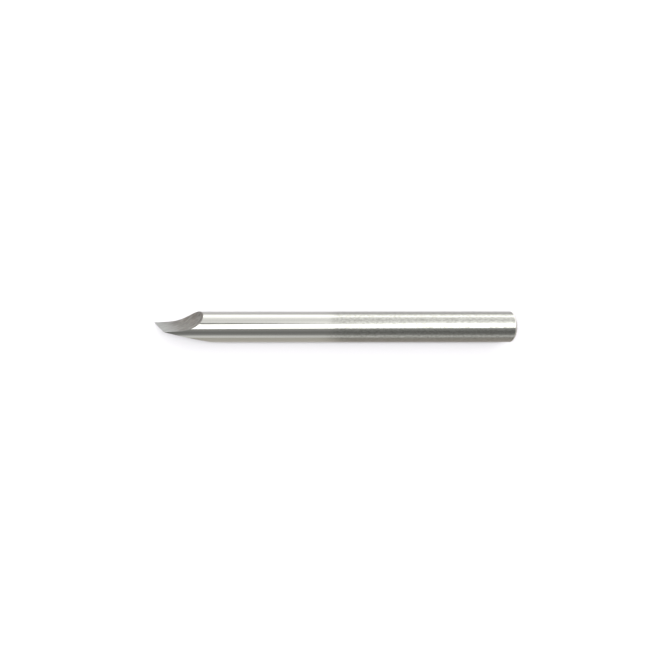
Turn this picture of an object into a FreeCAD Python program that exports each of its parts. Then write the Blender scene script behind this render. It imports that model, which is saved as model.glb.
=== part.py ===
"""Round-shank chip carving blade: one ground bar of hardened tool steel, in millimetres.

Frame: the origin is the centre of the flat butt face. The shank lies along X with the cutting
point towards -X. +Y is the side that the blade face looks to, and +Z is up as the bit lies.
"""
import FreeCAD, Part
import os
from math import cos, radians, sin, tan

Vector = FreeCAD.Vector

# Bar
shank_diameter = 6.0          # fits a 6 mm collet or a drilled handle
overall_length = 71.0         # butt face to cutting point
butt_chamfer_length = 0.5     # along the bar
butt_chamfer_depth = 0.7      # in from the side of the bar

# Blade face: a flat that ends at the cutting edge, and a hollow left by the wheel behind it
point_clock = -73.0           # degrees round the bar from +Y towards +Z: where the point sits
face_clock = 20.5             # the same angle for the way the blade face looks
face_tilt = 3.2               # degrees that the face falls towards the point
edge_skew = 33.2              # degrees that the edge lies back from square, within the face
flat_width = 2.4              # from the edge to the start of the hollow, square to the edge
wheel_radius = 6.1            # of the grinding wheel that left the hollow

# Relief: one plane on the other side, which meets the face in the cutting edge
edge_angle = 21.9             # degrees of steel between face and relief

shank_radius = shank_diameter / 2
beyond = 2 * (overall_length + wheel_radius)   # reach of a cutter, past anything it has to clear

os.makedirs("parts", exist_ok=True)


def on_bar(x, clock):
    """The point of the bar's side at x, at a clock angle in degrees from +Y towards +Z."""
    return Vector(x, shank_radius * cos(radians(clock)), shank_radius * sin(radians(clock)))


def edge_frame():
    """Three unit directions at the cutting edge: along it, back over the face, and out of the face."""
    across = cos(radians(face_tilt))
    out = Vector(-sin(radians(face_tilt)),
                 across * cos(radians(face_clock)),
                 across * sin(radians(face_clock)))
    lengthwise = Vector(1, 0, 0) - out * out.x
    lengthwise.normalize()
    upwards = lengthwise.cross(out)
    along = upwards * cos(radians(edge_skew)) + lengthwise * sin(radians(edge_skew))
    back = along.cross(out)
    if back.x < 0:
        back = back * -1
    return along, back, out


cutting_point = on_bar(-overall_length, point_clock)
along_edge, back_over_face, out_of_face = edge_frame()


def in_section(back, out):
    """A point of the section square to the edge, from the distances back over and out of the face."""
    return cutting_point + back_over_face * back + out_of_face * out


def sweep_along_edge(edges):
    """A cutter: the closed outline in the section, carried along the edge right through the bar."""
    outline = Part.Face(Part.Wire(edges))
    outline.translate(along_edge * -beyond)
    return outline.extrude(along_edge * (2 * beyond))


def bar():
    """The plain bar with its chamfered butt, turned as one solid."""
    outline = [Vector(0, 0, 0),
               Vector(0, shank_radius - butt_chamfer_depth, 0),
               Vector(-butt_chamfer_length, shank_radius, 0),
               Vector(-overall_length - shank_radius, shank_radius, 0),
               Vector(-overall_length - shank_radius, 0, 0)]
    section = Part.Face(Part.makePolygon(outline + outline[:1]))
    return section.revolve(Vector(0, 0, 0), Vector(1, 0, 0), 360)


def face_cutter():
    """The steel that the wheel takes off: over the flat, then up the quarter circle of the hollow."""
    hollow_start = in_section(flat_width, 0)
    hollow_end = in_section(flat_width + wheel_radius, wheel_radius)
    middle = in_section(flat_width + wheel_radius * sin(radians(45)),
                        wheel_radius * (1 - cos(radians(45))))
    corners = [hollow_end,
               in_section(flat_width + wheel_radius, beyond),
               in_section(-beyond, beyond),
               in_section(-beyond, 0),
               hollow_start]
    edges = [Part.Arc(hollow_start, middle, hollow_end).toShape()]
    edges += [Part.LineSegment(a, b).toShape() for a, b in zip(corners, corners[1:])]
    return sweep_along_edge(edges)


def relief_cutter():
    """The steel below the relief plane, which starts at the edge and falls away under the face."""
    drop = beyond * tan(radians(edge_angle))
    corners = [in_section(0, 0),
               in_section(beyond, -drop),
               in_section(beyond, -drop - beyond),
               in_section(-beyond, -drop - beyond),
               in_section(-beyond, 0)]
    edges = [Part.LineSegment(a, b).toShape() for a, b in zip(corners, corners[1:] + corners[:1])]
    return sweep_along_edge(edges)


def blade_bit():
    """The bar with its blade face and relief ground on. Both cuts share the line of the edge."""
    return bar().cut(face_cutter()).cut(relief_cutter())


solid = blade_bit().Solids[0]
print("valid", solid.isValid(), "volume mm3", round(solid.Volume, 2))
print("x", round(solid.BoundBox.XMin, 3), "to", round(solid.BoundBox.XMax, 3))
solid.exportStep("parts/blade_bit.step")
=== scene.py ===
# %% [markdown]
# # A round-shank chip carving blade
# The whole tool is one bar of hardened tool steel. Most of it is plain ground shank, which a
# handle or a collet grips. The other end is ground on two sides, and the two ground surfaces meet
# in a skewed cutting edge. Such a part lives by its finish: a bright bar shows its surroundings as
# long bands, so half of this lesson is about the steel and the other half about what it reflects.

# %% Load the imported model
from math import radians

import bmesh
import bpy
import numpy as np
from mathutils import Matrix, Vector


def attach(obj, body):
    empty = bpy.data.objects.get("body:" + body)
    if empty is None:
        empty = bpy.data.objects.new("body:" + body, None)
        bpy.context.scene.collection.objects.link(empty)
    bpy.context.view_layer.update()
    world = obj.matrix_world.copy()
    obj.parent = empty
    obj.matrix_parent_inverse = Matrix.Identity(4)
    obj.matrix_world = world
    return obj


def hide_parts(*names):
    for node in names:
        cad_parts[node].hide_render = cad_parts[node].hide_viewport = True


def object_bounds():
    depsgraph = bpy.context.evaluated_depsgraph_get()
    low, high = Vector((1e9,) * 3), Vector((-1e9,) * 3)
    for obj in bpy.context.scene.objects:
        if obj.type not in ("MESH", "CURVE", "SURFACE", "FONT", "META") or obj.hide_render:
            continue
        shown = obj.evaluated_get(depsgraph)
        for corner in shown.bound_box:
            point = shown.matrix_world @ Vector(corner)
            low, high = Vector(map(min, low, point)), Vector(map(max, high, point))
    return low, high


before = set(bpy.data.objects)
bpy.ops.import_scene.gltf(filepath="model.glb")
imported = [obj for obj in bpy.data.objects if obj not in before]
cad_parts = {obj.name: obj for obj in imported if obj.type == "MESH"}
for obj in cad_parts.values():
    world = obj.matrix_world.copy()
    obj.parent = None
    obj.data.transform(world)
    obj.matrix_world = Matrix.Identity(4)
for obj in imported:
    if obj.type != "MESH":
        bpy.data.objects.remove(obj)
cad_low, cad_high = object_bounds()
MM = 0.001
print("CAD box in mm:", [round(v / MM, 3) for v in (*cad_low, *cad_high)])

# %% [markdown]
# ## Reading the ground surfaces from the frame
# The frame already settles how the point is ground, so nothing about it is typed in again here.
# Each ground surface is found by the way its triangles face: the relief and the flat of the blade
# face are the two largest flat areas that lean towards the point. Their normals give the direction
# of the cutting edge, and the points of the hollow give the radius of the wheel that left it.

# %% Areas and directions of the CAD triangles
LEAN = 0.02                     # the least share of a direction that counts as leaning that way


def triangles_of(node):
    """Corner points of a node's triangles, as an array of shape (triangles, 3 corners, 3)."""
    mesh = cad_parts[node].data
    mesh.calc_loop_triangles()
    index = np.empty(len(mesh.loop_triangles) * 3, np.int32)
    mesh.loop_triangles.foreach_get("vertices", index)
    points = np.empty(len(mesh.vertices) * 3, np.float32)
    mesh.vertices.foreach_get("co", points)
    return points.reshape(-1, 3)[index].reshape(-1, 3, 3).astype(float)


def unit(vectors):
    """The same directions with length one."""
    return vectors / np.linalg.norm(vectors, axis=-1, keepdims=True)


corners = triangles_of("blade_bit")
spans = np.cross(corners[:, 1] - corners[:, 0], corners[:, 2] - corners[:, 0])
areas = np.linalg.norm(spans, axis=1) / 2
facing = unit(spans)
ways, group = np.unique(np.round(facing, 2), axis=0, return_inverse=True)
group = group.ravel()
group_area = np.bincount(group, weights=areas) * (ways[:, 0] < -LEAN)
largest = np.argsort(group_area)[::-1][:2]
print("flat areas in mm2:", np.round(group_area[largest] / MM**2, 1))

# %% The planes of the point and the directions that go with them
planes = [(group == g, unit((spans * (group == g)[:, None]).sum(0))) for g in largest]
planes.sort(key=lambda plane: plane[1][1])
(on_relief, relief_out), (on_flat, face_out) = planes

CLEAR = 0.2 * MM                # height over the flat from which the hollow's radius can be told

points = corners.reshape(-1, 3)
bar_radius = cad_high.z
cutting_point = points[points[:, 0].argmin()]
edge = unit(np.cross(face_out, relief_out))
edge *= np.sign(edge[2])
face_back = np.cross(edge, face_out)
face_back *= np.sign(face_back[0])
relief_back = np.cross(edge, relief_out)
relief_back *= np.sign(relief_back[0])

flat_width = ((corners[on_flat] - cutting_point) @ face_back).max()
in_hollow = (facing[:, 0] < -LEAN) & (abs(facing @ edge) < LEAN) & ~on_flat & ~on_relief
past = corners[in_hollow].reshape(-1, 3) - cutting_point
into, rise = past @ face_back - flat_width, past @ face_out
deep = rise > CLEAR
wheel_radius = np.median((into[deep] ** 2 + rise[deep] ** 2) / (2 * rise[deep]))
print("edge direction", np.round(edge, 3), "flat", round(flat_width / MM, 2), "mm,",
      "wheel radius", round(wheel_radius / MM, 2), "mm")

# %% [markdown]
# ## The blade face and the relief as ruled surfaces
# A wheel that passes straight across a bar leaves a surface made of straight lines, all parallel to
# the cutting edge. So one function can make both surfaces: it walks back from the edge, and at each
# step lays a line along the edge's direction from one side of the bar to the other. Where a line
# leaves the bar is a quadratic equation, so the rim of each surface lies exactly on the round side.

# %% Lines across the bar
HALVINGS = 60                   # enough to find a length to the last digit


def chord_ends(start):
    """Distances along the edge direction at which lines from the start points leave the bar.

    A point start + s * edge lies on the side where y squared plus z squared is the radius squared.
    That is a quadratic in s, whose two roots are the ends of the chord.
    """
    a = edge[1] ** 2 + edge[2] ** 2
    b = start[..., 1] * edge[1] + start[..., 2] * edge[2]
    c = start[..., 1] ** 2 + start[..., 2] ** 2 - bar_radius**2
    root = np.sqrt(np.clip(b * b - a * c, 0, None))
    return (-b - root) / a, (-b + root) / a, b * b - a * c


def reach_of(line_at, limit):
    """How far back a ground surface runs before it leaves the bar, by halving an interval."""
    near, far = 0.0, limit
    for _ in range(HALVINGS):
        middle = (near + far) / 2
        inside = chord_ends(line_at(np.array([middle])))[2][0] > 0
        near, far = (middle, far) if inside else (near, middle)
    return near


def ruled_surface(line_at, limit, rows, columns):
    """Grid of a ground surface, and its surface coordinates in millimetres.

    Row t lies at reach * (1 - (1 - t)^2) back from the edge, so rows crowd together towards the
    heel and their ends stay evenly spaced round the bar. Within a row the points run straight from
    one end of the chord to the other. The coordinates are the distances along the edge and back.
    """
    t = np.linspace(0, 1, rows)
    back = reach_of(line_at, limit) * (1 - (1 - t) ** 2)
    start = line_at(back)
    low, high, _ = chord_ends(start)
    along = low[:, None] + (high - low)[:, None] * np.linspace(0, 1, columns)
    walked = np.concatenate([[0], np.cumsum(np.linalg.norm(np.diff(start, axis=0), axis=1))])
    grid = start[:, None] + along[..., None] * edge
    return grid, np.stack([along, np.broadcast_to(walked[:, None], along.shape)], -1) / MM


# %% The two ground surfaces
WAVE_HEIGHT = 0.0025 * MM       # chatter of the wheel, at most this much up or down
WAVES_FULL = 2 * MM             # how far from the edge it reaches its full height
WAVE_LENGTHS = np.array([0.9, 0.53, 0.37, 0.29, 0.23]) * MM
WAVE_STARTS = np.random.default_rng(4).uniform(0, 2 * np.pi, len(WAVE_LENGTHS))


def chatter(back):
    """Waves that a wheel leaves across its path: the mean of five sines, fading to none at the edge."""
    waves = np.sin(2 * np.pi * back[:, None] / WAVE_LENGTHS + WAVE_STARTS).mean(1)
    return WAVE_HEIGHT * waves * np.clip(back / WAVES_FULL, 0, 1)


def face_line(back):
    """Start points of the lines of the blade face.

    The height over the flat is nothing as far as the hollow. Past that it is the wheel's circle:
    its radius less the root of radius squared minus distance squared.
    """
    into = np.clip(back - flat_width, 0, wheel_radius)
    height = wheel_radius - np.sqrt(wheel_radius**2 - into**2) + chatter(back)
    return cutting_point + back[:, None] * face_back + height[:, None] * face_out


def relief_line(back):
    """Start points of the lines of the relief, which is one plane."""
    return cutting_point + back[:, None] * relief_back


FACE_ROWS, RELIEF_ROWS, COLUMNS = 300, 100, 26
RELIEF_LIMIT = 20 * MM          # further back than the relief reaches

face_grid, face_uv = ruled_surface(face_line, flat_width + wheel_radius, FACE_ROWS, COLUMNS)
relief_grid, relief_uv = ruled_surface(relief_line, RELIEF_LIMIT, RELIEF_ROWS, COLUMNS)
print("blade face runs", round(face_uv[-1, 0, 1], 2), "mm back, relief",
      round(relief_uv[-1, 0, 1], 2), "mm")

# %% [markdown]
# ## The round side and the butt
# The side of the bar begins where the two ground surfaces end. Their rims together make one closed
# loop, which passes each clock angle once, so the side is a grid: one column for each point of the
# loop, running straight back to the chamfer. The butt carries the same columns on over a profile of
# radius against length. Its two corners are rounded by about a tenth of a millimetre, because a
# corner that is perfectly sharp never catches the light as a real one does.

# %% The rim loop and the side
face_rim = np.concatenate([face_grid[:, 0], face_grid[::-1, -1][1:]])
relief_rim = np.concatenate([relief_grid[1:, -1], relief_grid[::-1, 0][1:]])
rim = np.concatenate([face_rim, relief_rim])
clock = np.unwrap(np.arctan2(rim[:, 2], rim[:, 1]))
print("rim points", len(rim), "clock from", round(np.degrees(clock[0]), 1), "to",
      round(np.degrees(clock[-1]), 1), "always forward:", bool((np.diff(clock) > 0).all()))

# %% The profile of the butt
ON_SIDE = 0.999                 # share of the bar's radius from which a point is on the round side
ON_END = 0.001 * MM             # how near the end face a point that is on it lies
CORNER = 0.12 * MM              # how far the curve at each corner of the chamfer reaches
CORNER_STEPS = 7
END_RINGS = 10                  # steps from the rim of the flat end to its centre

radius_at = np.hypot(points[:, 1], points[:, 2])
butt_radius = radius_at[points[:, 0] > cad_high.x - ON_END].max()
chamfer_length = -points[radius_at > ON_SIDE * bar_radius, 0].max()


def rounded_corner(before, corner, after):
    """Points of a quadratic curve that cuts a corner off by the same distance on both sides."""
    a = corner + unit(before - corner) * CORNER
    b = corner + unit(after - corner) * CORNER
    t = np.linspace(0, 1, CORNER_STEPS)[:, None]
    return (1 - t) ** 2 * a + 2 * t * (1 - t) * corner + t**2 * b


outer = np.array([-chamfer_length, bar_radius])
inner = np.array([cad_high.x, butt_radius])
butt_profile = np.concatenate([
    rounded_corner(outer - [MM, 0], outer, inner),
    rounded_corner(outer, inner, inner - [0, MM]),
    inner * [1, 0] + np.linspace(1 - 1 / END_RINGS, 0, END_RINGS)[:, None] * [0, butt_radius],
])
print("chamfer", round(chamfer_length / MM, 2), "mm long and",
      round((bar_radius - butt_radius) / MM, 2), "mm deep")

# %% The side and the butt as grids
SIDE_ROWS = 40
around = np.stack([np.cos(clock), np.sin(clock)], -1)


def side_surface():
    """Grid of the round side: straight lines from the rim back to the chamfer's first corner."""
    share = np.linspace(0, 1, SIDE_ROWS)[:, None]
    x = rim[:, 0] + (butt_profile[0, 0] - rim[:, 0]) * share
    ring = np.broadcast_to(around * bar_radius, (SIDE_ROWS, len(rim), 2)).copy()
    ring[0] = rim[:, 1:]
    return np.concatenate([x[..., None], ring], -1)


def butt_surface():
    """Grid of the chamfer and the end face: each profile point carried round the bar."""
    x = np.broadcast_to(butt_profile[:, 0, None, None], (len(butt_profile), len(rim), 1))
    return np.concatenate([x, butt_profile[:, 1, None, None] * around], -1)


# %% [markdown]
# ## Joining the four surfaces into one closed piece
# Each surface keeps its own material and its own coordinates in millimetres, so the grinding lines
# can follow it. The side and the butt are closed round the bar by repeating their first column at
# the end. After that the shared rims are welded, and only the corners between surfaces stay sharp.

# %% Turn grids into a mesh
def closed(grid, turn):
    """A grid that repeats its first column, and coordinates: along the surface, and round the bar.

    The coordinate round the bar starts again at that column, so noise laid on it has a seam there.
    """
    grid = np.concatenate([grid, grid[:, :1]], 1)
    angle = np.append(clock, clock[0] + 2 * np.pi)
    length = grid[..., 0] if turn is None else np.broadcast_to(turn[:, None], grid.shape[:2])
    return grid, np.stack([length, np.broadcast_to(angle * bar_radius, length.shape)], -1) / MM


def quads(rows, columns, first):
    """Corner numbers of the quads of a grid whose points are numbered row by row from first."""
    start = first + np.arange((rows - 1) * columns).reshape(rows - 1, columns)[:, :-1].ravel()
    return np.stack([start, start + 1, start + columns + 1, start + columns], -1)


profile_steps = np.linalg.norm(np.diff(butt_profile, axis=0), axis=1)
profile_walk = np.concatenate([[0], np.cumsum(profile_steps)])
patches = {
    "side": closed(side_surface(), None),
    "face": (face_grid, face_uv),
    "relief": (relief_grid, relief_uv),
    "butt": closed(butt_surface(), profile_walk),
}
print("points in each grid:", {patch: grid.shape[:2] for patch, (grid, _) in patches.items()})

# %% The finished mesh
WELD = 2e-8                     # metres within which the points of two rims are one point
NO_LENGTH = 1e-9                # metres under which an edge has no length
SHARP = radians(11)             # an edge that turns by more than this stays sharp


def piece_from(name, patches):
    """One object from the patches: welded, facing outwards, smooth except at its real corners."""
    places, uvs, faces, slots = [], [], [], []
    first = 0
    for slot, (grid, uv) in enumerate(patches.values()):
        rows, columns = grid.shape[:2]
        faces.append(quads(rows, columns, first))
        slots.append(np.full(len(faces[-1]), slot))
        places.append(grid.reshape(-1, 3))
        uvs.append(uv.reshape(-1, 2))
        first += rows * columns
    corner_index = np.concatenate(faces)
    mesh = bpy.data.meshes.new(name)
    mesh.from_pydata(np.concatenate(places), [], corner_index)
    layer = mesh.uv_layers.new(name="surface_mm")
    layer.data.foreach_set("uv", np.concatenate(uvs)[corner_index].astype(np.float32).ravel())
    mesh.polygons.foreach_set("material_index", np.concatenate(slots).astype(np.int32))
    shell = bmesh.new()
    shell.from_mesh(mesh)
    bmesh.ops.remove_doubles(shell, verts=shell.verts, dist=WELD)
    bmesh.ops.dissolve_degenerate(shell, edges=shell.edges, dist=NO_LENGTH)
    bmesh.ops.recalc_face_normals(shell, faces=shell.faces)
    open_edges = sum(1 for e in shell.edges if len(e.link_faces) != 2)
    shell.to_mesh(mesh)
    shell.free()
    mesh.shade_smooth()
    mesh.set_sharp_from_angle(angle=SHARP)
    print(name, "faces", len(mesh.polygons), "open edges", open_edges)
    piece = bpy.data.objects.new(name, mesh)
    bpy.context.scene.collection.objects.link(piece)
    return piece


blade = piece_from("ground_blade", patches)

# %% [markdown]
# ## Colours and nodes
# Colours are written as the sRGB hex values that a colour picker shows, and one function turns them
# into the linear numbers that light works with. One more function adds a node, sets it and links it.
# Each node is then written out where it is used, so a material reads from top to bottom: where the
# pattern lies, how strong it is, and the colour that it lays over the steel.

# %% Helpers for materials
def linear(hex_colour):
    """An sRGB hex colour as linear RGBA: the standard curve undone, channel by channel."""
    srgb = np.array([int(hex_colour[i:i + 2], 16) for i in (1, 3, 5)]) / 255
    rgb = np.where(srgb <= 0.04045, srgb / 12.92, ((srgb + 0.055) / 1.055) ** 2.4)
    return (*rgb.tolist(), 1.0)


def add(tree, kind, links=None, output=0, **settings):
    """Add a node and return one of its outputs, or the node itself where it has none.

    The settings are the node's properties. The links give each input, by name or number, a plain
    value or another node's output.
    """
    made = tree.nodes.new(kind)
    for name, value in settings.items():
        setattr(made, name, value)
    for socket, value in (links or {}).items():
        if isinstance(value, bpy.types.NodeSocket):
            tree.links.new(value, made.inputs[socket])
        else:
            made.inputs[socket].default_value = value
    return made.outputs[output] if len(made.outputs) else made


MIX_A, MIX_B = 6, 7                                 # inputs of a Mix node that carry colours
COLOURS = {"output": 2, "data_type": "RGBA"}        # and what makes the node mix those


def metal(name, build):
    """A material whose surface is the shader that the build function makes in its tree."""
    material = bpy.data.materials.new(name)
    material.use_nodes = True
    tree = material.node_tree
    tree.nodes.clear()
    add(tree, "ShaderNodeOutputMaterial", {"Surface": build(tree)})
    return material


# %% [markdown]
# ## Centreless-ground steel
# A bar like this is ground between two wheels that spin it, so its fine lines run round it. Across
# the bar the steel is a fair mirror, and along it the reflections are drawn out, which is what an
# anisotropic highlight is for. The front half is clean. The rear half, which has been gripped and
# handled, is darker and faintly uneven, with blotches less than a millimetre wide.

# %% The shank's steel
CLEAN, HANDLED, BLOTCH = "#A5A5A0", "#9C9C97", "#8B8B85"
bar_length = cad_high.x - cad_low.x
HANDLED_FROM = cad_high.x - 0.49 * bar_length       # where the change begins, from the butt
HANDLED_FULL = cad_high.x - 0.44 * bar_length       # where it is complete
WANDER = 4 * MM                                     # how far the border of the change may wander
WANDERS = 420.0                                     # how often it does, in each metre
BLOTCH_SIZE = 0.35 * MM
BLOTCH_EDGE = 0.40, 0.66                            # noise at which a blotch begins and is full
BLOTCH_STRETCH = 0.55                               # blotches are longer than wide by one over this
LINE_SPACING = 0.12                                 # mm between grinding lines
LINE_RELIEF, BLOTCH_RELIEF = 0.004 * MM, 0.012 * MM


def shank_steel(tree):
    """Bright ground steel, mottled towards the butt, with the lines of grinding round the bar."""
    place = add(tree, "ShaderNodeTexCoord", output="Object")
    surface = add(tree, "ShaderNodeUVMap", uv_map="surface_mm")
    lengthwise = add(tree, "ShaderNodeSeparateXYZ", {0: place}, output="X")

    # The border between the halves wanders by a few millimetres
    wander = add(tree, "ShaderNodeTexNoise", {"Vector": place, "Scale": WANDERS, "Detail": 3.0})
    along = add(tree, "ShaderNodeMath", {0: wander, 1: WANDER, 2: lengthwise},
                operation="MULTIPLY_ADD")
    rear = add(tree, "ShaderNodeMapRange",
               {"Value": along, "From Min": HANDLED_FROM, "From Max": HANDLED_FULL},
               interpolation_type="SMOOTHSTEP")

    # Blotches about a third of a millimetre wide, drawn out along the bar
    drawn = add(tree, "ShaderNodeMapping", {"Vector": place, "Scale": (BLOTCH_STRETCH, 1, 1)})
    fine = add(tree, "ShaderNodeTexNoise",
               {"Vector": drawn, "Scale": 1 / BLOTCH_SIZE, "Detail": 3.0, "Roughness": 0.65})
    blotchy = add(tree, "ShaderNodeMapRange",
                  {"Value": fine, "From Min": BLOTCH_EDGE[0], "From Max": BLOTCH_EDGE[1]})
    blotch = add(tree, "ShaderNodeMath", {0: blotchy, 1: rear}, operation="MULTIPLY")

    # Grinding lines: noise that is drawn out round the bar, and the relief of the blotches
    ground = add(tree, "ShaderNodeMapping", {"Vector": surface, "Scale": (1 / LINE_SPACING, 0.25, 1)})
    lines = add(tree, "ShaderNodeTexNoise", {"Vector": ground, "Scale": 1.0, "Detail": 3.0})
    bump = add(tree, "ShaderNodeBump", {"Strength": 0.10, "Distance": LINE_RELIEF, "Height": lines})
    uneven = add(tree, "ShaderNodeMapRange", {"Value": rear, "To Min": 0.10, "To Max": 0.36})
    bump = add(tree, "ShaderNodeBump", {"Strength": uneven, "Distance": BLOTCH_RELIEF,
                                        "Height": fine, "Normal": bump})

    # The handled steel over the clean, and the blotches over both
    colour = add(tree, "ShaderNodeMix", {0: rear, MIX_A: linear(CLEAN), MIX_B: linear(HANDLED)},
                 **COLOURS)
    colour = add(tree, "ShaderNodeMix", {0: blotch, MIX_A: colour, MIX_B: linear(BLOTCH)}, **COLOURS)
    rough = add(tree, "ShaderNodeMapRange", {"Value": blotch, "To Min": 0.13, "To Max": 0.20})
    tangent = add(tree, "ShaderNodeTangent", direction_type="UV_MAP", uv_map="surface_mm")
    return add(tree, "ShaderNodeBsdfPrincipled",
               {"Base Color": colour, "Metallic": 1.0, "Anisotropic": 0.5, "Roughness": rough,
                "Normal": bump, "Tangent": tangent})


# %% [markdown]
# ## Wheel-ground faces
# The blade face and its relief come straight off a coarser wheel, so they are matt and darker than
# the shank. The lines run square to the edge, the way the wheel's rim moved, and they are about a
# third of a millimetre apart, which is coarser than real ones, so that they show. Along the edge
# the face has been stroked on a stone: there it is finer and lighter. The hollow is darkest, with
# a trace of the straw brown that heat leaves.

# %% The steel of the ground faces
FACE_DARK, FACE_LIGHT, HEAT = "#84837F", "#9A9B98", "#736E67"
SCRATCH = "#54524E"
FACE_SPACING = 0.35             # mm between the lines of the wheel
CROSS_SPACING = 0.45            # mm between the scratches that cross them
CROSS_TURN = radians(52)        # how far those are turned
CLOUD_SIZE = 1.25               # mm across a cloud of the brown
STREAK_EDGE = 0.44, 0.62        # noise at which a streak begins and is full
CROSS_EDGE = 0.51, 0.60         # the same for a crossing scratch
CLOUD_EDGE = 0.35, 0.65         # the same for a cloud
STREAKS, SCRATCHES = 0.75, 0.85     # how much of their colour they lay over the steel

# The rest are distances back from the edge in mm, where each change begins and ends
HONED = 0.3, 3.5                # from honed by the stone to plain
HEATED = 2.2, 5.0               # from plain to brown
RUN_OUT = 3.0, 5.5              # from no crossing scratches to all of them
MARKED = 0.0, 4.0               # from shallow lines to deep ones
MATT = 0.2, 4.5                 # from the smoothest to the roughest


def face_steel(tree):
    """Matt ground steel with lines square to the edge, lighter where the edge was honed."""
    surface = add(tree, "ShaderNodeUVMap", uv_map="surface_mm")
    back = add(tree, "ShaderNodeSeparateXYZ", {0: surface}, output="Y")

    # The lines of the wheel, deeper away from the edge
    drawn = add(tree, "ShaderNodeMapping", {"Vector": surface, "Scale": (1 / FACE_SPACING, 0.5, 1)})
    lines = add(tree, "ShaderNodeTexNoise",
                {"Vector": drawn, "Scale": 1.0, "Detail": 5.0, "Roughness": 0.65})
    depth = add(tree, "ShaderNodeMapRange", {"Value": back, "From Min": MARKED[0],
                                             "From Max": MARKED[1], "To Min": 0.25})
    streaky = add(tree, "ShaderNodeMapRange", {"Value": lines, "From Min": STREAK_EDGE[0],
                                               "From Max": STREAK_EDGE[1], "To Max": STREAKS})
    streak = add(tree, "ShaderNodeMath", {0: streaky, 1: depth}, operation="MULTIPLY")

    # Where the wheel ran out behind the hollow, it left a second set of scratches across the first
    turned = add(tree, "ShaderNodeMapping", {"Vector": surface, "Rotation": (0, 0, CROSS_TURN),
                                             "Scale": (1 / CROSS_SPACING, 0.6, 1)})
    crossing = add(tree, "ShaderNodeTexNoise", {"Vector": turned, "Scale": 1.0, "Detail": 3.0})
    scratchy = add(tree, "ShaderNodeMapRange", {"Value": crossing, "From Min": CROSS_EDGE[0],
                                                "From Max": CROSS_EDGE[1], "To Max": SCRATCHES})
    run_out = add(tree, "ShaderNodeMapRange",
                  {"Value": back, "From Min": RUN_OUT[0], "From Max": RUN_OUT[1]})
    crossed = add(tree, "ShaderNodeMath", {0: scratchy, 1: run_out}, operation="MULTIPLY")

    # What the stone made lighter beside the edge, and the clouds of brown in the hollow
    honed = add(tree, "ShaderNodeMapRange",
                {"Value": back, "From Min": HONED[0], "From Max": HONED[1],
                 "To Min": 1.0, "To Max": 0.0}, interpolation_type="SMOOTHSTEP")
    cloud = add(tree, "ShaderNodeTexNoise",
                {"Vector": surface, "Scale": 1 / CLOUD_SIZE, "Detail": 3.0})
    cloudy = add(tree, "ShaderNodeMapRange",
                 {"Value": cloud, "From Min": CLOUD_EDGE[0], "From Max": CLOUD_EDGE[1]})
    heated = add(tree, "ShaderNodeMapRange",
                 {"Value": back, "From Min": HEATED[0], "From Max": HEATED[1]})
    heat = add(tree, "ShaderNodeMath", {0: heated, 1: cloudy}, operation="MULTIPLY")

    # Each colour lies over the ones before it
    colour = linear(FACE_DARK)
    for amount, laid in ((honed, FACE_LIGHT), (heat, HEAT), (streak, SCRATCH), (crossed, SCRATCH)):
        colour = add(tree, "ShaderNodeMix", {0: amount, MIX_A: colour, MIX_B: linear(laid)}, **COLOURS)
    bump = add(tree, "ShaderNodeBump", {"Strength": depth, "Distance": 0.03 * MM, "Height": lines})
    rough = add(tree, "ShaderNodeMapRange", {"Value": back, "From Min": MATT[0],
                                             "From Max": MATT[1], "To Min": 0.42, "To Max": 0.55})
    tangent = add(tree, "ShaderNodeTangent", direction_type="UV_MAP", uv_map="surface_mm")
    return add(tree, "ShaderNodeBsdfPrincipled",
               {"Base Color": colour, "Metallic": 1.0, "Anisotropic": 0.4, "Roughness": rough,
                "Normal": bump, "Tangent": tangent})


# %% [markdown]
# ## The butt
# The end of the bar was faced in a lathe and its chamfer touched on a wheel, so its lines are
# circles round the centre. It is a little duller than the side.

# %% The steel of the butt
BUTT, BUTT_DARK = "#BFBDB8", "#8F8D88"
CIRCLES = 9.0                   # lines of turning in each mm of radius
CIRCLE_EDGE = 0.4, 0.75         # noise at which a dark circle begins and is full


def butt_steel(tree):
    """Turned steel with fine circles round the centre of the end face, broken at the seam."""
    surface = add(tree, "ShaderNodeUVMap", uv_map="surface_mm")
    drawn = add(tree, "ShaderNodeMapping", {"Vector": surface, "Scale": (CIRCLES, 0.15, 1)})
    lines = add(tree, "ShaderNodeTexNoise", {"Vector": drawn, "Scale": 1.0, "Detail": 4.0})
    bump = add(tree, "ShaderNodeBump", {"Strength": 0.5, "Distance": 0.008 * MM, "Height": lines})
    dark = add(tree, "ShaderNodeMapRange", {"Value": lines, "From Min": CIRCLE_EDGE[0],
                                            "From Max": CIRCLE_EDGE[1], "To Max": 0.5})
    colour = add(tree, "ShaderNodeMix", {0: dark, MIX_A: linear(BUTT), MIX_B: linear(BUTT_DARK)},
                 **COLOURS)
    return add(tree, "ShaderNodeBsdfPrincipled",
               {"Base Color": colour, "Metallic": 1.0, "Roughness": 0.33, "Normal": bump})


# %% The finishes on the piece
finishes = {
    "side": metal("centreless_ground_tool_steel", shank_steel),
    "face": metal("wheel_ground_tool_steel", face_steel),
    "relief": metal("wheel_ground_relief_steel", face_steel),
    "butt": metal("turned_butt_steel", butt_steel),
}
for patch in patches:
    blade.data.materials.append(finishes[patch])
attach(blade, "root")
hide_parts("blade_bit")
print("finishes:", [material.name for material in blade.data.materials])
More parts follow.
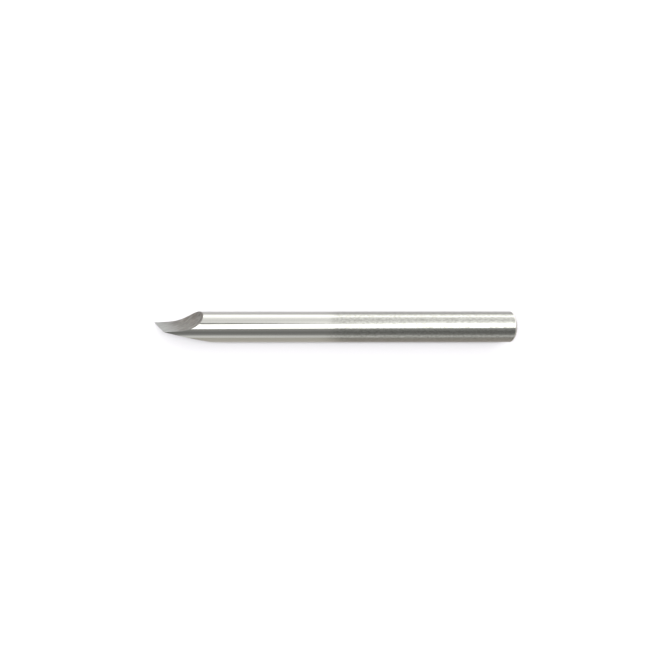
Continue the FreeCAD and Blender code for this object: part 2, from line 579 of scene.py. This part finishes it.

# %% [markdown]
# ## The paper that it lies on
# Where the side of the bar leans away by more than 45 degrees, it mirrors the paper beside it. So
# the paper is part of the look. On the side that the blade face looks to, it is painted brighter a few
# bar widths out: painted light, which shows mostly in the mirror. On the other side it is duller and
# warmer in the mirror than where it is seen straight, and dullest beside the butt. No real paper does
# that: it is painted shade in the lower reflections of the bar. Far away the paper is white all round,
# so that low views show no grey ground, only a faint line where it meets the background.

# %% The floor
FLOOR_HALF = 2.0                                    # metres from its middle to each side
PAPER, WHITE_PAPER = "#A2A1A3", "#EDEDED"
# Painted light: the paper turns brighter from here towards +Y, mostly for the bar to mirror
PAINTED_LIGHT_RAMP = 14 * MM, 34 * MM                           # where the paper turns whiter, towards +Y
FAR = 0.12, 0.35                                    # the same all round, in metres from the butt
# Painted shade: the paper's darker, warmer tones that only the bar's mirror shows, towards -Y
MIRROR_SHADE, MIRROR_SHADE_REAR = "#93908B", "#807C78"      # its tones in the mirror, towards -Y
BESIDE_REAR = -38 * MM, -31 * MM                    # where one tone turns into the other
UNDER_BAR = 2 * MM, -2 * MM                         # where those tones fade in, towards -Y


def floor_plane():
    """A pale floor that the bit lies on, so far across that its end lies on the horizon."""
    mesh = bpy.data.meshes.new("floor")
    corners = np.array([(-1, -1), (1, -1), (1, 1), (-1, 1)]) * FLOOR_HALF
    mesh.from_pydata(np.column_stack([corners, np.full(4, cad_low.z)]), [], [(0, 1, 2, 3)])
    paper = bpy.data.materials.new("pale_paper")
    paper.use_nodes = True
    tree = paper.node_tree
    place = add(tree, "ShaderNodeTexCoord", output="Object")
    across = add(tree, "ShaderNodeSeparateXYZ", {0: place}, output="Y")
    lengthwise = across.node.outputs["X"]

    # The paper as it is seen straight: painted light makes it brighter on one side, and it is white far
    # away
    away = add(tree, "ShaderNodeVectorMath", {0: place}, output="Value", operation="LENGTH")
    painted_light = add(tree, "ShaderNodeMapRange",
                 {"Value": across, "From Min": PAINTED_LIGHT_RAMP[0], "From Max": PAINTED_LIGHT_RAMP[1]})
    far = add(tree, "ShaderNodeMapRange", {"Value": away, "From Min": FAR[0], "From Max": FAR[1]})
    white = add(tree, "ShaderNodeMath", {0: painted_light, 1: far}, operation="MAXIMUM")
    straight = add(tree, "ShaderNodeMix",
                   {0: white, MIX_A: linear(PAPER), MIX_B: linear(WHITE_PAPER)}, **COLOURS)

    # The paper as the bar mirrors it on the other side: painted shade that only the mirror shows
    beside = add(tree, "ShaderNodeMapRange",
                 {"Value": lengthwise, "From Min": BESIDE_REAR[0], "From Max": BESIDE_REAR[1]})
    mirror_shade = add(tree, "ShaderNodeMix",
                   {0: beside, MIX_A: linear(MIRROR_SHADE), MIX_B: linear(MIRROR_SHADE_REAR)}, **COLOURS)
    other_side = add(tree, "ShaderNodeMapRange",
                     {"Value": across, "From Min": UNDER_BAR[0], "From Max": UNDER_BAR[1]})
    glossy = add(tree, "ShaderNodeLightPath", output="Is Glossy Ray")
    shade_in_mirror = add(tree, "ShaderNodeMath", {0: other_side, 1: glossy}, operation="MULTIPLY")
    colour = add(tree, "ShaderNodeMix", {0: shade_in_mirror, MIX_A: straight, MIX_B: mirror_shade}, **COLOURS)

    shader = tree.nodes["Principled BSDF"]
    tree.links.new(colour, shader.inputs["Base Color"])
    shader.inputs["Roughness"].default_value = 0.9
    mesh.materials.append(paper)
    floor = bpy.data.objects.new("floor", mesh)
    bpy.context.scene.collection.objects.link(floor)
    return floor


floor_plane()
print("floor", 2 * FLOOR_HALF, "m across at height", round(cad_low.z / MM, 2), "mm")

# %% [markdown]
# ## Light that a bright bar can show
# A polished bar has almost no look of its own: each band along it is something that stands round it.
# Seen from above, a strip of the bar that leans away by some angle shows what stands at twice that
# angle from overhead. So the room is described that way, by angle. A soft light hangs overhead, one
# wall of the tent is pale, and on the other side a dark stretch lies between the light and the
# horizon. The world carries the walls, as brightness against the angle round the bar's own axis.

# %% The walls of the light tent, as the world
# Degrees from overhead (+ towards +Y), and the brightness there beyond the point and the butt
WALL = [
    (-180, 1.00, 0.60), (-95, 1.00, 0.55), (-84, 1.45, 0.90), (-72, 1.25, 1.20), (-62, 0.54, 0.58),
    (-46, 0.36, 0.36), (-34, 0.44, 0.36), (-20, 0.62, 0.58), (-12, 0.70, 0.70), (18, 0.60, 2.60),
    (26, 0.35, 3.20), (30, 1.80, 2.90), (38, 1.72, 2.25), (48, 1.58, 1.85), (56, 1.72, 1.80),
    (64, 1.95, 2.00), (73, 2.30, 2.40), (84, 3.60, 4.20), (96, 4.20, 5.00), (180, 1.70, 1.70),
]
END = 1.6                       # brightness straight along the bar
BACKGROUND = "#F7F7F7"

# How much of a direction runs along X, where each change begins and ends
BUTTWARDS = -0.16, 0.30         # from the walls beyond the point to those beyond the butt
ENDWARDS = 0.90, 0.995          # from the walls to the plain tone of the ends


def tent_world():
    """A world whose brightness depends on the angle from overhead, round the bar's axis.

    The angle is the arctangent of y over z. Along the axis it blends from the walls beyond the
    point to the walls beyond the butt. Close to the ends of the axis all angles meet, so there the
    world fades to one plain pale tone. Looked at straight, and not in a mirror, it is one plain
    pale grey, as the background of a studio is, so that a bright edge still shows against it.
    """
    world = bpy.data.worlds.new("light_tent")
    world.use_nodes = True
    tree = world.node_tree
    way = add(tree, "ShaderNodeTexCoord", output="Generated")
    split = add(tree, "ShaderNodeSeparateXYZ", {0: way}).node
    angle = add(tree, "ShaderNodeMath", {0: split.outputs["Y"], 1: split.outputs["Z"]},
                operation="ARCTAN2")
    share = add(tree, "ShaderNodeMapRange", {"Value": angle, "From Min": -np.pi, "From Max": np.pi})
    bands = []
    for end in (1, 2):
        band = add(tree, "ShaderNodeValToRGB", {0: share})
        stops = band.node.color_ramp.elements
        while len(stops) < len(WALL):
            stops.new(0.5)
        for stop, wall in zip(stops, WALL):
            stop.position = (wall[0] + 180) / 360
            stop.color = (wall[end], wall[end], wall[end], 1)
        bands.append(band)

    # From the point's walls to the butt's, then the ends, then what is looked at straight
    buttwards = add(tree, "ShaderNodeMapRange", {"Value": split.outputs["X"],
                                                 "From Min": BUTTWARDS[0], "From Max": BUTTWARDS[1]})
    light = add(tree, "ShaderNodeMix", {0: buttwards, MIX_A: bands[0], MIX_B: bands[1]}, **COLOURS)
    endwards = add(tree, "ShaderNodeMath", {0: split.outputs["X"]}, operation="ABSOLUTE")
    ends = add(tree, "ShaderNodeMapRange",
               {"Value": endwards, "From Min": ENDWARDS[0], "From Max": ENDWARDS[1]},
               interpolation_type="SMOOTHSTEP")
    light = add(tree, "ShaderNodeMix", {0: ends, MIX_A: light, MIX_B: (END, END, END, 1)}, **COLOURS)
    seen = add(tree, "ShaderNodeLightPath", output="Is Camera Ray")
    light = add(tree, "ShaderNodeMix", {0: seen, MIX_A: light, MIX_B: linear(BACKGROUND)}, **COLOURS)
    tree.links.new(light, tree.nodes["Background"].inputs["Color"])
    bpy.context.scene.world = world


tent_world()
print("light tent with", len(WALL), "stops, brightest", max(max(wall[1:]) for wall in WALL))

# %% The soft light overhead
LIGHT_HEIGHT = 0.5                                  # metres over the bar's axis
LIGHT_FROM, LIGHT_TO = radians(-12.2), radians(20.6)    # its two long sides, from overhead
LIGHT_YAW = radians(10)                             # how far it is turned round the vertical
LIGHT_LENGTH = 0.7                                  # metres along the bar
LIGHT_LEVEL = 3.0                                   # brightness of its surface
middle = (cad_low + cad_high) / 2


def overhead_light(name, begins, ends, level, pointwards=0.0):
    """A rectangular light whose long sides stand at the two angles, as seen from the bar.

    It hangs over the middle of the bit, or further towards the point by the given metres. Its
    energy is its level times pi times its area.
    """
    side_a, side_b = LIGHT_HEIGHT * np.tan([begins, ends])
    lamp = bpy.data.lights.new(name, "AREA")
    lamp.shape = "RECTANGLE"
    lamp.size, lamp.size_y = LIGHT_LENGTH, float(side_b - side_a)
    lamp.energy = level * np.pi * lamp.size * lamp.size_y
    light = bpy.data.objects.new(name, lamp)
    light.location = (middle.x - pointwards, float(side_a + side_b) / 2, LIGHT_HEIGHT)
    bpy.context.scene.collection.objects.link(light)
    print(name, round(lamp.size, 3), "by", round(lamp.size_y, 3), "m, energy", round(lamp.energy, 2))
    return light


soft_light = overhead_light("overhead_soft_light", LIGHT_FROM, LIGHT_TO, LIGHT_LEVEL)
soft_light.rotation_euler.z = LIGHT_YAW

# %% [markdown]
# The bright side walls would throw a long shadow over the floor. A narrow strip light overhead
# lights the floor more strongly and keeps the shadow short. It hangs a little towards the point,
# where the floor stays almost without shadow. The bar doesn't mirror it.

# %% The strip light for the floor
STRIP_FROM, STRIP_TO = radians(-2), radians(8)
STRIP_LEVEL = 25.0
STRIP_SHIFT = 0.08                                  # metres towards the point
strip_light = overhead_light("floor_strip_light", STRIP_FROM, STRIP_TO, STRIP_LEVEL, STRIP_SHIFT)
strip_light.visible_glossy = False

# %% [markdown]
# ## The camera
# The camera looks straight down through a wide lens from close by, so it sees the two ends of the
# bit at a slant. The top of the butt's rim is nearer to the lens than its sides, which bends the
# square end into a curve. The slant also changes how wide the blade face looks. A long lens from
# far away would show the end as a straight line.

# %% Camera and colour
LENS, SENSOR = 26.0, 36.0                           # mm
DISTANCE = 91.6 * MM                                # from the lens to the bit's axis
FROM_BUTT, ASIDE = 36.6 * MM, 0.34 * MM             # the place that the camera stands over
ASKEW = radians(-0.03)                              # the bit lies very slightly askew to it
NEAREST = 5 * MM                                    # the usual tenth of a metre would cut the bit off

camera_data = bpy.data.cameras.new("camera")
camera_data.lens, camera_data.sensor_width = LENS, SENSOR
camera_data.clip_start = NEAREST
camera = bpy.data.objects.new("camera", camera_data)
camera.location = (cad_high.x - FROM_BUTT, ASIDE, DISTANCE)
camera.rotation_euler.z = ASKEW
bpy.context.scene.collection.objects.link(camera)
bpy.context.scene.camera = camera
bpy.context.scene.view_settings.view_transform = "Standard"
print("camera at", np.round(np.array(camera.location) / MM, 2), "mm")
